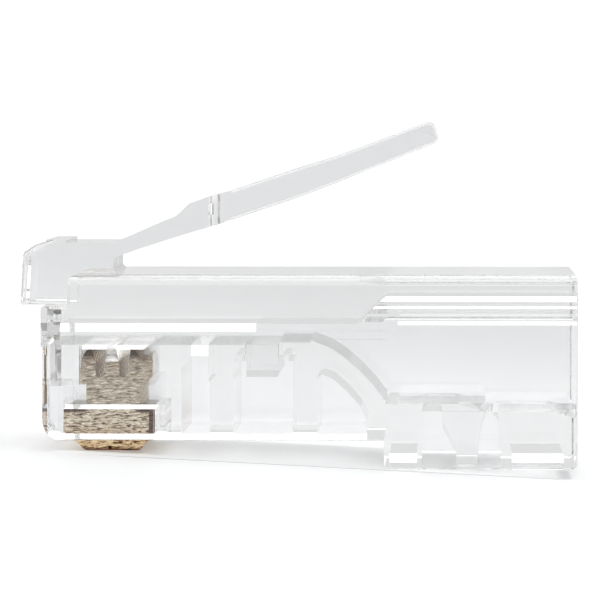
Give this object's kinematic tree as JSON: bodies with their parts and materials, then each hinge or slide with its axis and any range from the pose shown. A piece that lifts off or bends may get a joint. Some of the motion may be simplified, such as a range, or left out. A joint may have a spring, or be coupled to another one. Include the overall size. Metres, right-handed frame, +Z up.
{
  "type": "rj45 modular plug",
  "caption": "Clear modular plug with a flexible latch, raised blade contacts and an open cable entry, ready to crimp onto round network cable.",
  "frame": {"origin": "under the middle of the bounding box, on the underside of the rear block", "axes": "+X towards the cable entry, with the mating nose at -X; +Y across the width; +Z up, the side that the latch is on"},
  "size_m": [0.0224, 0.0116, 0.0138],
  "materials": {
    "clear_housing": "clear moulded polycarbonate, polished",
    "clear_latch": "clear moulded polycarbonate, lightly drawn faces",
    "clear_clamps": "clear moulded polycarbonate",
    "contacts": "stamped phosphor bronze, gold over nickel, fine stamping lines"
  },
  "bodies": {
    "housing": {"housing": "clear_housing"},
    "latch": {"latch": "clear_latch"},
    "conductor_clamp": {"conductor_clamp": "clear_clamps"},
    "jacket_clamp": {"jacket_clamp": "clear_clamps"},
    "contact_1": {"contact_1": "contacts"},
    "contact_2": {"contact_2": "contacts"},
    "contact_3": {"contact_3": "contacts"},
    "contact_4": {"contact_4": "contacts"},
    "contact_5": {"contact_5": "contacts"},
    "contact_6": {"contact_6": "contacts"},
    "contact_7": {"contact_7": "contacts"},
    "contact_8": {"contact_8": "contacts"}
  },
  "joints": [
    {"name": "latch_flex", "type": "hinge", "parent": "housing", "child": "latch", "pos_m": [-0.00745, 0, 0.00865], "axis": [0, 1, 0], "range_deg": [0, 17], "stiffness_Nm_per_rad": 0.05},
    {"name": "conductor_clamp_drive", "type": "slide", "parent": "housing", "child": "conductor_clamp", "axis": [0, 0, 1], "range_m": [0, 0.00045]},
    {"name": "jacket_clamp_swing", "type": "hinge", "parent": "housing", "child": "jacket_clamp", "pos_m": [0.00524, 0, 0.00241], "axis": [0, -1, 0], "range_deg": [0, 25]},
    {"name": "contact_drive_1", "type": "slide", "parent": "housing", "child": "contact_1", "axis": [0, 0, 1], "range_m": [0, 0.00094]},
    {"name": "contact_drive_2", "type": "slide", "parent": "housing", "child": "contact_2", "axis": [0, 0, 1], "range_m": [0, 0.00094]},
    {"name": "contact_drive_3", "type": "slide", "parent": "housing", "child": "contact_3", "axis": [0, 0, 1], "range_m": [0, 0.00094]},
    {"name": "contact_drive_4", "type": "slide", "parent": "housing", "child": "contact_4", "axis": [0, 0, 1], "range_m": [0, 0.00094]},
    {"name": "contact_drive_5", "type": "slide", "parent": "housing", "child": "contact_5", "axis": [0, 0, 1], "range_m": [0, 0.00094]},
    {"name": "contact_drive_6", "type": "slide", "parent": "housing", "child": "contact_6", "axis": [0, 0, 1], "range_m": [0, 0.00094]},
    {"name": "contact_drive_7", "type": "slide", "parent": "housing", "child": "contact_7", "axis": [0, 0, 1], "range_m": [0, 0.00094]},
    {"name": "contact_drive_8", "type": "slide", "parent": "housing", "child": "contact_8", "axis": [0, 0, 1], "range_m": [0, 0.00094]}
  ],
  "couplings": [
    {"joint": "contact_drive_2", "follows": "contact_drive_1", "ratio": 1},
    {"joint": "contact_drive_3", "follows": "contact_drive_1", "ratio": 1},
    {"joint": "contact_drive_4", "follows": "contact_drive_1", "ratio": 1},
    {"joint": "contact_drive_5", "follows": "contact_drive_1", "ratio": 1},
    {"joint": "contact_drive_6", "follows": "contact_drive_1", "ratio": 1},
    {"joint": "contact_drive_7", "follows": "contact_drive_1", "ratio": 1},
    {"joint": "contact_drive_8", "follows": "contact_drive_1", "ratio": 1}
  ]
}
